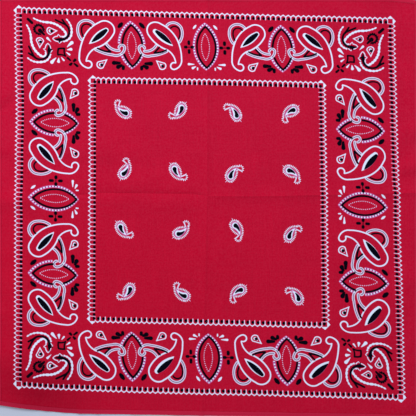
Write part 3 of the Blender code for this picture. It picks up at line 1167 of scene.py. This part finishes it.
def corner_black(place):
    arm = place.moved(RING_MIDDLE)
    slant = math.sqrt(0.5)
    angle = arm.towards((slant, slant)).math("ARCTAN2", arm.towards((-slant, slant)))
    teeth = (angle * RING_TEETH).math("COSINE") * RING_TOOTH
    band = abs(arm.length() - RING_RADIUS) - teeth - RING_HALF_WIDTH
    ring = most(band, (RING_MOUTH - abs(angle)) * MOUTH_EDGE)
    return least(strokes(place, CORNER_BLACK), ring, dot(place, *BUD), dot(place, *CORNER_EYE))


def cross(place):
    return strokes(place.moved(CROSS_MIDDLE).vector("ABSOLUTE", {}), CROSS)


corner_white_block = printing_block("corner white", corner_white)
corner_black_block = printing_block("corner black", corner_black)
cross_block = printing_block("little cross", cross)

# %% [markdown]
# ### The two frames
#
# Each frame is a row of scallops like the edge of a stamp, with a black seed in every arch. The row is
# one scallop repeated by taking the distance along the side modulo the pitch. The level sides hold
# fewer and flatter scallops than the upright ones, so the third part of the place, level, is 1 there.

# %% Sizes of the frames
FAR = 100.0
FRAMES = {
    "outer": {"half": HALF, "upright": 82, "level": 72, "corner_seed": FAR},
    "inner": {"half": INNER_HALF, "upright": 52, "level": 44, "corner_seed": 5.0},
}
SCALLOP = {  # on an upright side, on a level side
    "tip": (3.5, 1.7),  # how far it stands out past the frame
    "slant": (1.3, 0.7),
    "slant_share": (0.65, 0.82),  # makes a distance across the slant from one straight in
    "arch": (6.6, 5.3),  # from the tips to the middle of the arch
    "arch_squash": (0.68, 0.94),
    "wall": (0.52, 0.75),  # half the ink between two arches
}
CORNER_CELL = 7.1


def on_side(level, upright_value, level_value):
    """One value on the upright sides of a frame and another on the level ones."""
    return level * (level_value - upright_value) + upright_value


def frame_step(along, level, sizes):
    """Distance from the middle of the nearest scallop, and the pitch."""
    length = 2 * (sizes["half"] - CORNER_CELL)
    turns = on_side(level, sizes["upright"] / length, sizes["level"] / length)
    pitch = on_side(level, length / sizes["upright"], length / sizes["level"])
    return (within_one(along * turns) - 0.5) * pitch, pitch


for name, sizes in FRAMES.items():
    pitches = [2 * (sizes["half"] - CORNER_CELL) / sizes[side] for side in ("upright", "level")]
    print("%s frame: a scallop every %.2f mm, every %.2f mm on the level sides" % (name, *pitches))

# %% Scallops and seeds
WALLS_END = 7.3
CORNER_RIM = 0.7  # ink round the red square in each corner of a frame
CORNER_SQUARE = 6.6
CHAMFER = (0.7, 0.3)
ROOF = (3.6, 0.8)
SEED_DEPTH = (5.0, 4.7)  # on an upright side, on a level side
SEED_SQUASH = (1.08, 1.0)
SEED_NARROWING = 1.12
SEED = 1.74


def frame_corner(along, depth, half):
    """The pointed cell that ends a side, with a red square in it."""
    square = most(CORNER_RIM - depth, half - CORNER_SQUARE - along)
    chamfer = (along - half - depth) * CHAMFER[0] - CHAMFER[1]
    roof = most(half - ROOF[0] - along, 0.0) * ROOF[1] - depth - ROOF[0]
    return most(chamfer, roof, -square)


def scallops(place, sizes):
    along, depth, level = place.parts()
    step, pitch = frame_step(along, level, sizes)
    on = {name: on_side(level, *values) for name, values in SCALLOP.items()}
    off, into = abs(step), depth + on["tip"]
    outside = (off * on["slant"] - into) * on["slant_share"]
    below = most(on["arch"] - into, 0.0)
    arch = place_at(off, below * on["arch_squash"]).length() - pitch * 0.5 + on["wall"]
    at_corner = along > sizes["half"] - CORNER_CELL
    row = most(outside, -arch) * (1.0 - at_corner)
    both = row + frame_corner(along, depth, sizes["half"]) * at_corner
    return most(both, depth - WALLS_END)


def frame_seeds(place, sizes):
    along, depth, level = place.parts()
    step, _ = frame_step(along, level, sizes)
    at_corner = along > sizes["half"] - CORNER_CELL
    from_seed = along - sizes["half"] + sizes["corner_seed"]
    step = step * (1.0 - at_corner) + from_seed * at_corner
    into = (depth - on_side(level, *SEED_DEPTH)) * on_side(level, *SEED_SQUASH)
    return place_at(step * SEED_NARROWING, into).length() - SEED


frame_blocks = {}
for name, sizes in FRAMES.items():
    frame_blocks[name, "white"] = printing_block(name + " scallops", lambda place: scallops(place, sizes))
    frame_blocks[name, "black"] = printing_block(name + " seeds", lambda place: frame_seeds(place, sizes))

# %% [markdown]
# ### The small paisleys
#
# Sixteen small paisleys are scattered over the field, turned this way and that and half of them
# mirrored. They share one block. A ramp with sixteen flat stops serves as a card index: the number of
# the cell that a point is in picks the stop, whose colour holds where that cell's paisley sits, how
# far it is turned and whether it is mirrored.

# %% Small paisleys
FIELD_CELLS = 4  # each way
CELL = 76.0
CARD_SPAN = 400.0  # the places on the cards are shares of this length
SMALL_PAISLEYS = (  # head across, head up, turn in degrees, mirrored; row by row from the upper left
    (-110.6, 113.5, 0, 0), (-34.9, 120.5, 86, 0), (39.3, 113.8, 92, 1), (115.8, 121.2, 180, 1),
    (-112.4, 35.5, 28, 1), (-43.9, 41.6, 273, 1), (31.3, 35.2, 266, 0), (110.3, 43.1, 180, 0),
    (-116.6, -34.8, 274, 1), (-38.7, -40.9, 1, 1), (37.3, -29.8, 152, 0), (109.1, -41.1, 267, 0),
    (-104.6, -114.8, 86, 0), (-32.3, -121.1, 357, 0), (42.8, -112.3, 182, 1), (119.5, -121.3, 93, 1),
)
TOOTHED = (0.85, 2.1)  # depth and spacing of the little teeth
SMALL_OUTLINE = (
    *chain(((-7.3, 8.0), (-0.6, 7.4), (7.4, 1.9), (6.4, -4.3), (0.2, -6.6)), 1.9, 1.9, *TOOTHED),
    (((0.2, -6.6), (-8.5, -2.3), (-13.0, 9.4)), 1.9, 1.9, *TOOTHED),
    (((-13.0, 9.4), (-11.7, 15.4), (-7.0, 14.6)), 1.9, 1.8, *TOOTHED),
    (((-7.0, 14.6), (-9.3, 8.6)), 2.0, 1.9),
    (((6.6, -4.4), (9.0, -6.6)), 1.5, 0.8),
)
SMALL_DROP = (((0.9, -0.2), (-4.6, 2.1), (-9.9, 6.8)), 8.9, 1.3)
SMALL_CORE = (((0.8, -0.5), (-3.0, 0.4), (-6.8, 3.1)), 4.9, 0.7)


def small_white(place):
    """The toothed outline, and the drop in it."""
    return strokes(place, SMALL_OUTLINE), strokes(place, [SMALL_DROP])


def small_black(place):
    return strokes(place, [SMALL_CORE])


def own_place(a, b):
    """A point's place as seen from the small paisley of its cell."""
    last = FIELD_CELLS - 1.0
    column = held((a * (1 / CELL) + FIELD_CELLS / 2).math("FLOOR"), 0.0, last)
    row = held((FIELD_CELLS / 2 - b * (1 / CELL)).math("FLOOR"), 0.0, last)
    count = len(SMALL_PAISLEYS)
    number = (row * FIELD_CELLS + column + 0.5) * (1 / count)
    stops = [
        (n / count, (x / CARD_SPAN + 0.5, y / CARD_SPAN + 0.5, turn / 360, 1.0 - mirrored))
        for n, (x, y, turn, mirrored) in enumerate(SMALL_PAISLEYS)
    ]
    card = number.node("ShaderNodeValToRGB", {"stops": stops}, {"Fac": number})
    side = output(card, "Alpha") * 2.0 - 1.0
    across, up, turn = card.parts()
    dx, dy = a - (across - 0.5) * CARD_SPAN, b - (up - 0.5) * CARD_SPAN
    cosine, sine = (turn * (2 * math.pi)).math("COSINE"), (turn * (2 * math.pi)).math("SINE")
    return place_at((dx * cosine + dy * sine) * side, dy * cosine - dx * sine)


small_white_block = printing_block("small paisley white", small_white, ("outline", "drop"))
small_black_block = printing_block("small paisley black", small_black)

# %% [markdown]
# ## Two plates
#
# Fabric is printed one colour after the other, and the second never lands exactly on the first. So
# there are two plates, each a function that fetches the blocks for one ink, and the black one is shifted
# by almost a millimetre, less in the field. Both fold the square onto half of one side first. The
# borders are stretched a little more on the upright sides than on the level ones.
#
# The white plate gives four distances: to full white, to the paler fine work, to the dark line inside
# that fine work, and to the places where white and red have mixed to pink.

# %% Folding the square
LEAF_SPACING = 101.7
SIDE_LENGTH = 173.6
BORDER_MIDDLE = 55.0  # in from the frame, in the blocks
MIDDLE_AS_PRINTED = (54.4, 55.9)  # on an upright side, on a level side
ACROSS_STRETCH = (1.055, 1.0)
ALONG_STRETCH = 1.015
ALONG_TAPER = (0.00016, -0.0003)  # how that changes with each millimetre in from the frame
CORNER_SPREAD = (0.12, 2.4)  # how much a sprig spreads away from the diagonal, and at most how far
RIBBONS_CROSS = (50.9, 6.8)  # where the ribbons hide the rope of an outer leaf, and half how wide


def folded_places(a, b):
    """All the folded places that the blocks need."""
    across, up = abs(a), abs(b)
    level = up > across
    along, depth = least(across, up), HALF - most(across, up)
    side_along = along * (depth * on_side(level, *ALONG_TAPER) + ALONG_STRETCH)
    from_middle = (depth - on_side(level, *MIDDLE_AS_PRINTED)) * on_side(level, *ACROSS_STRETCH)
    side_depth = from_middle + BORDER_MIDDLE
    paisley = LEAF_SPACING - abs(side_along - LEAF_SPACING)
    leaf = LEAF_SPACING / 2 - abs(paisley - LEAF_SPACING / 2)
    outer_leaf = paisley > LEAF_SPACING / 2
    spread = held((HALF - along - depth) * CORNER_SPREAD[0], 0.0, CORNER_SPREAD[1])
    ribbons, half_gap = RIBBONS_CROSS
    return {
        "corner": place_at(along - spread, depth),
        "side": place_at(side_along, side_depth),
        "paisley": place_at(paisley, side_depth),
        "leaf": place_at(leaf, side_depth),
        "outer": place_at(along, depth, level),
        "inner": place_at(along, depth - (HALF - INNER_HALF), level),
        "outer_leaf": outer_leaf,
        "ribbon_gap": half_gap - abs(side_depth - ribbons) - (1.0 - outer_leaf) * FAR,
        "side_end": side_along - SIDE_LENGTH,
    }


print("leaves every %.1f mm, borders end %.1f mm from the middle" % (LEAF_SPACING, SIDE_LENGTH))

# %% White plate
BAND_HALF_WIDTH = 1.95
BAND_LINE = 0.6  # half the width of the dark line in a band
SEED_GROWTH = {"white": -0.2, "black": 0.45}
PINK_RIM = 0.9  # round the drop of a small paisley


def both_frames(at, colour):
    return least(*(pressed(frame_blocks[name, colour], at[name]) for name in FRAMES))


def white_plate(a, b):
    """Distances to full white, to the paler fine work, to its dark line and to what is pink."""
    at = folded_places(a, b)
    paisley = pressed(large_white_block, at["paisley"])
    rope = pressed(rope_block, at["leaf"])
    small = pressed(small_white_block, own_place(a, b))
    drop = output(small, "drop")
    seeds = pressed(seeds_block, at["leaf"]) - SEED_GROWTH["white"]
    seeds = most(seeds, at["outer_leaf"] * FAR - FAR / 2)
    side = least(paisley, seeds, most(rope, at["ribbon_gap"]))
    corner = pressed(corner_white_block, at["corner"])
    full = least(most(side, at["side_end"]), corner, both_frames(at, "white"), drop)
    bands = least(output(paisley, "bands") - BAND_HALF_WIDTH, pressed(beads_block, at["leaf"]))
    pale = least(most(bands, at["side_end"]), small)
    gaps = most(output(rope, "gaps"), at["ribbon_gap"])
    line = most(least(output(paisley, "middle of bands") - BAND_LINE, gaps), at["side_end"])
    rope_band = most(output(rope, "band"), at["ribbon_gap"], at["side_end"])
    return full, pale, line, least(drop - PINK_RIM, rope_band)


# %% Black plate
BLACK_SHIFT = (0.9, -0.35)
FIELD_SHIFT = (-0.6, 0.15)  # what the small paisleys take back of it


def black_plate(a, b):
    at = folded_places(a, b)
    line = most(pressed(leaf_line_block, at["leaf"]), at["ribbon_gap"])
    seeds = pressed(seeds_block, at["leaf"]) - SEED_GROWTH["black"]
    seeds = most(seeds, FAR / 2 - at["outer_leaf"] * FAR)
    paisley, crosses = pressed(large_black_block, at["paisley"]), pressed(cross_block, at["side"])
    side = most(least(paisley, line, seeds, crosses), at["side_end"])
    small = pressed(small_black_block, own_place(a - FIELD_SHIFT[0], b - FIELD_SHIFT[1]))
    return least(side, pressed(corner_black_block, at["corner"]), both_frames(at, "black"), small)


print("the black plate lands %.2f mm off" % math.hypot(*BLACK_SHIFT))

# %% [markdown]
# ## Cotton
#
# Bandana cotton is a plain weave of uneven yarn. From a step away the weave itself is too fine to see,
# but thick and thin places in the yarns show as faint streaks, upright and level, and the dye has
# taken a little more in some places than in others. Noise drawn out to forty times its width makes the
# streaks. The same signals feed the bump, with the crossing of the yarns on top.
#
# The colour is not even over the whole cloth either: a painted shade darkens it round the lower left
# corner, a painted loss of the lamp's pale sheen leaves it purer over the lower half, and it is a little
# lighter towards the left and the right hem. These places are in metres.

# %% Noise, mixing and ramps
def dye(colour):
    return (*colour, 1.0)


def noise(place, scale, detail=2.0):
    """Noise whose grain is 1 / scale metres, each way on its own."""
    inputs = {"Vector": place.scaled(scale), "Scale": 1.0, "Detail": detail}
    return place.node("ShaderNodeTexNoise", {"noise_dimensions": "3D"}, inputs)


def mixed(share, first, second, blend="MIX"):
    settings = {"data_type": "RGBA", "blend_type": blend, "clamp_factor": True}
    return share.node("ShaderNodeMix", settings, {"Factor": share, 6: first, 7: second}, 2)


def ramp_up(value, start, length):
    """From 0 at the start to 1 a length further on."""
    return held((value - start) * (1 / length), 0.0, 1.0)


# %% Yarn, dye and weave
RED = (0.530, 0.0036, 0.028)
PALE_RED = (0.550, 0.0115, 0.040)
LINT = (2.4, 0.7)  # how sharply lint stands out, and how much of it stays red
GRAIN = {  # grains for each metre along x, y and z, and the noise's detail
    "upright": ((1050.0, 26.0, 26.0), 2.0),
    "level": ((24.0, 950.0, 24.0), 2.0),
    "blotches": ((18.0, 15.0, 18.0), 3.0),
    "fuzz": ((1900.0, 1900.0, 400.0), 1.0),
    "lint": ((520.0, 440.0, 200.0), 1.0),
}
TONE_BASE = 0.67
TONE = {"upright": 0.24, "level": 0.18, "blotches": 0.14, "fuzz": 0.10}
YARN_PITCH = 0.5
WEAVE_RELIEF = 0.3
RELIEF = {"upright": 1.3, "level": 1.1, "fuzz": 0.5}
RELIEF_HEIGHT = 0.00006
# painted shade round the lower left corner, for light that falls off there
PAINTED_SHADE_MIDDLE = (-0.226, -0.246)
PAINTED_SHADE_REACH = (9.5, 13.5, 0.0)  # one over how far it reaches, along x and y
PAINTED_CORNER_SHADE = 0.30
PAINTED_SHADE_EASE = 0.3  # takes the point off the shade in its middle
# painted light: less of the lamp's pale sheen over the lower half, painted as a purer red
PAINTED_SHEEN_LOSS = (1.0, 0.78, 0.82)  # times the red
PAINTED_SHEEN_LOSS_START = 0.12  # above the middle, from where it grows downwards
PAINTED_SHEEN_LOSS_LENGTH = 0.20
PAINTED_SHEEN_LOSS_SHARE = (0.72, 1.2)  # in the middle, and how much less for each metre to the right
# lighter towards the left and the right hem
MARGIN_START = 0.232
MARGIN_LENGTH = 0.03
MARGIN_LIGHTENING = 0.075


class Cotton:
    """The weave in one material: its grain, how light each place is, with a painted shade round the lower
    left corner, and its relief.
    """

    def __init__(self, tree):
        where = add_node(tree, "ShaderNodeTexCoord", {}, {}, "Object")
        x, y, _ = where.parts()
        self.grain = {name: noise(where, *row) for name, row in GRAIN.items()}
        turns = 2 * math.pi / (YARN_PITCH * MM)
        self.weave = (x * turns).math("COSINE") * (y * turns).math("COSINE")
        # painted loss of sheen, growing towards the lower hem
        middle, leaning = PAINTED_SHEEN_LOSS_SHARE
        self.lower = ramp_up(-y, -PAINTED_SHEEN_LOSS_START, PAINTED_SHEEN_LOSS_LENGTH) * (middle - x * leaning)
        lighter_margins = ramp_up(abs(x), MARGIN_START, MARGIN_LENGTH) * MARGIN_LIGHTENING
        # painted shade round the lower left corner
        near = 1.0 - where.moved(PAINTED_SHADE_MIDDLE).scaled(PAINTED_SHADE_REACH).length()
        deep = held(near, 0.0, 1.0).math("SMOOTH_MIN", 1.0, PAINTED_SHADE_EASE)
        uneven = sum((self.grain[name] * share for name, share in TONE.items()), TONE_BASE)
        self.tone = uneven * (1.0 - deep * PAINTED_CORNER_SHADE) * (lighter_margins + 1.0)

    def red(self):
        """Dyed cotton, with paler flecks where lint stands up, and a painted loss of sheen that leaves the
        red purer over the lower half.
        """
        flecks = held(self.grain["lint"] * LINT[0] - LINT[1], 0.0, 1.0)
        flecked = mixed(flecks, dye(RED), dye(PALE_RED))
        return mixed(self.lower, flecked, dye(PAINTED_SHEEN_LOSS), "MULTIPLY")

    def normal(self):
        yarns = (self.grain[name] * share for name, share in RELIEF.items())
        inputs = {"Height": sum(yarns, self.weave * WEAVE_RELIEF), "Strength": 1.0}
        inputs["Distance"] = RELIEF_HEIGHT
        return self.weave.node("ShaderNodeBump", {}, inputs, "Normal")


print("yarns %.1f mm apart, standing up to %.2f mm" % (YARN_PITCH, RELIEF_HEIGHT / MM))


# %% What every finish needs
CLOTH_GLOSS = 0.02


def stored(tree, name, output):
    return add_node(tree, "ShaderNodeAttribute", {"attribute_name": name}, {}, output)


def new_finish(name):
    finish = bpy.data.materials.new(name)
    finish.use_nodes = True
    surface = finish.node_tree.nodes["Principled BSDF"]
    surface.inputs["Specular IOR Level"].default_value = CLOTH_GLOSS
    return finish, finish.node_tree, surface


def feed(tree, surface, colour, roughness, normal):
    for socket, signal in (("Base Color", colour), ("Roughness", roughness), ("Normal", normal)):
        tree.links.new(signal.socket, surface.inputs[socket])


# %% [markdown]
# ## Ink on cotton
#
# Each plate's distance becomes ink by a soft step at zero. Distances are moved a little first: white ink
# draws back as it dries, black ink spreads, and the fuzz of the yarns makes both edges uneven. Where
# the white thins out it leaves a pink fringe. A little of both inks shows through on the underside. The
# sewn hems and the thread take the same cotton, with a paler tint on the outer fold, and the panel and
# hems have a painted shade in the seam's groove.

# %% Printed cotton
WHITE_INK = (0.81, 0.91, 1.00)
LINE_INK = (0.13, 0.02, 0.11)
PINK_INK = (0.60, 0.13, 0.35)  # where white and red mix
FRINGE_INK = (0.70, 0.14, 0.42)
BLACK_INK = (0.0013, 0.0015, 0.0055)
EDGE_BLEED = 0.5  # how unevenly the ink creeps along the yarns
INK_SOFTNESS = 0.35
WHITE_CREEP = -0.31
BLACK_CREEP = 0.44
FRINGE_CREEP = -0.02
PALE_SHARE = 0.84
LINE_SHARE = 0.85
FRINGE_SHARE = 0.75
COVER = 0.86  # of the white ink where the yarns are thin
COVER_GAIN = {"upright": 0.14, "level": 0.12}
# painted shade in the seam's groove
SEAM_SHADE = 0.05
SHOW_THROUGH = {"white": 0.16, "black": 0.45}
DRY_ROUGHNESS = 0.92
INK_SMOOTHING = {"white": 0.12, "black": 0.14}


def showing(on_face, colour):
    """All of an ink on the face, and the share that shows through on the underside."""
    through = SHOW_THROUGH[colour]
    return on_face * (1 - through) + through


def ink(distance):
    return held(0.5 - distance * (1 / INK_SOFTNESS), 0.0, 1.0)


def printed_cotton():
    finish, tree, surface = new_finish("printed cotton")
    cotton = Cotton(tree)
    place = stored(tree, "printed_place", "Vector")
    a, b, on_face = place.parts()
    bleed = (cotton.grain["fuzz"] - 0.5) * EDGE_BLEED
    full_gap, pale_gap, line_gap, pink_gap = white_plate(a, b)
    black_gap = black_plate(a - BLACK_SHIFT[0], b - BLACK_SHIFT[1])
    white_shows, black_shows = showing(on_face, "white"), showing(on_face, "black")
    full = ink(full_gap - WHITE_CREEP + bleed)
    white = most(full, ink(pale_gap - WHITE_CREEP + bleed) * PALE_SHARE) * white_shows
    line = ink(line_gap) * LINE_SHARE * (1.0 - full) * white_shows
    pink = ink(pink_gap) * white_shows
    fringe = ink(least(full_gap, pale_gap) - FRINGE_CREEP) * FRINGE_SHARE * white_shows
    black = ink(black_gap - BLACK_CREEP + bleed) * black_shows
    cover = sum((cotton.grain[name] * share for name, share in COVER_GAIN.items()), COVER)
    thin = held(white * cover, 0.0, 1.0)
    # painted shade in the seam's groove
    shade = cotton.tone * (1.0 - stored(tree, "seam", "Fac") * SEAM_SHADE)
    colour = cotton.red().vector("SCALE", {"Scale": shade})
    layers = ((pink, PINK_INK), (fringe, FRINGE_INK), (thin, WHITE_INK), (line, LINE_INK), (black, BLACK_INK))
    for share, tint in layers:
        colour = mixed(share, colour, dye(tint))
    smoothing = white * INK_SMOOTHING["white"] + black * INK_SMOOTHING["black"]
    roughness = DRY_ROUGHNESS - smoothing
    feed(tree, surface, colour, roughness, cotton.normal())
    print("printed cotton: %d nodes beside the blocks" % len(tree.nodes))
    return finish


printed = printed_cotton()


# %% Plain cotton
HEM_PINK = (0.565, 0.015, 0.048)
THREAD_PINK = (0.62, 0.028, 0.070)
PALE_EDGE_SHARE = 0.9
PALE_EDGE_TINT = (1.35, 0.008)  # times the colour, and plus this
PLAIN_ROUGHNESS = 0.95
YARN_SHEEN = 0.06


def plain_cotton(name, colour, seam_shade):
    finish, tree, surface = new_finish(name)
    cotton = Cotton(tree)
    pale_edge = stored(tree, "edge", "Fac") * PALE_EDGE_SHARE
    # painted shade in the seam's groove
    shade = 1.0 - stored(tree, "seam", "Fac") * seam_shade
    tint = mixed(pale_edge, dye(colour), dye([value * PALE_EDGE_TINT[0] + PALE_EDGE_TINT[1] for value in colour]))
    tint = tint.vector("SCALE", {"Scale": cotton.tone * shade})
    feed(tree, surface, tint, PLAIN_ROUGHNESS - cotton.grain["upright"] * YARN_SHEEN, cotton.normal())
    print("%s: %d nodes" % (name, len(tree.nodes)))
    return finish


hem_finish = plain_cotton("hem cotton", HEM_PINK, SEAM_SHADE)
thread_finish = plain_cotton("sewing thread", THREAD_PINK, 0.0)

# %% [markdown]
# ## The table
#
# The cloth lies on a plain pale table, so large that its edge is far away from every side. It is not
# part of the garment, so it is marked as stage.

# %% Table
TABLE_SIDE = 12.0
TABLE_COLOUR = (0.62, 0.66, 0.72)
TABLE_SHADE = 0.96
TABLE_ROUGHNESS = 0.9
TABLE_GLOSS = 0.1
TABLE_GRAIN = (3.0, 3.0, 3.0)
TABLE_GAP = 0.00005  # under the cloth


def make_table():
    mesh = bpy.data.meshes.new("table")
    half = TABLE_SIDE / 2
    corners = [(x * half, y * half, -TABLE_GAP) for x, y in ((-1, -1), (1, -1), (1, 1), (-1, 1))]
    mesh.from_pydata(corners, [], [(0, 1, 2, 3)])
    table = bpy.data.objects.new("table", mesh)
    bpy.context.scene.collection.objects.link(table)
    finish = bpy.data.materials.new("table top")
    finish.use_nodes = True
    surface = finish.node_tree.nodes["Principled BSDF"]
    surface.inputs["Roughness"].default_value = TABLE_ROUGHNESS
    surface.inputs["Specular IOR Level"].default_value = TABLE_GLOSS
    where = add_node(finish.node_tree, "ShaderNodeTexCoord", {}, {}, "Object")
    patches = noise(where, TABLE_GRAIN)
    darker = dye([value * TABLE_SHADE for value in TABLE_COLOUR])
    colour = mixed(patches, dye(TABLE_COLOUR), darker)
    finish.node_tree.links.new(colour.socket, surface.inputs["Base Color"])
    mesh.materials.append(finish)
    return table


table = make_table()
table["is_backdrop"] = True
print("table %.0f m square" % TABLE_SIDE)

# %% [markdown]
# ## Putting the pieces on the model
#
# Each shell takes its finish, rides on the one body that a cloth has, and stands for the solid that it
# was made on. The stitches stand for nothing, since the solids have none. The cloth's cut is larger
# than the finished square, by the cloth that the double turned hems use up on each side.

panel.data.materials.append(printed)
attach(panel, "root")
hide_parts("panel")
for side in hems:
    hems[side].data.materials.append(hem_finish)
    stitches[side].data.materials.append(thread_finish)
    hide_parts("hem_" + side)
    for piece in (hems[side], stitches[side]):
        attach(piece, "root")

# %% [markdown]
# ## Size
#
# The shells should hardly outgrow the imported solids, so both boxes are written down for comparison.
# Only a few puckers along the hems stand a little higher.

# %% Compare the boxes and finish
visual_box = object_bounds()
boxes = {"cad": [list(corner) for corner in cad_box], "visual": [list(corner) for corner in visual_box]}
for name, (low, high) in boxes.items():
    print(name, "box:", " x ".join("%.1f" % ((high[n] - low[n]) / MM) for n in range(3)), "mm")
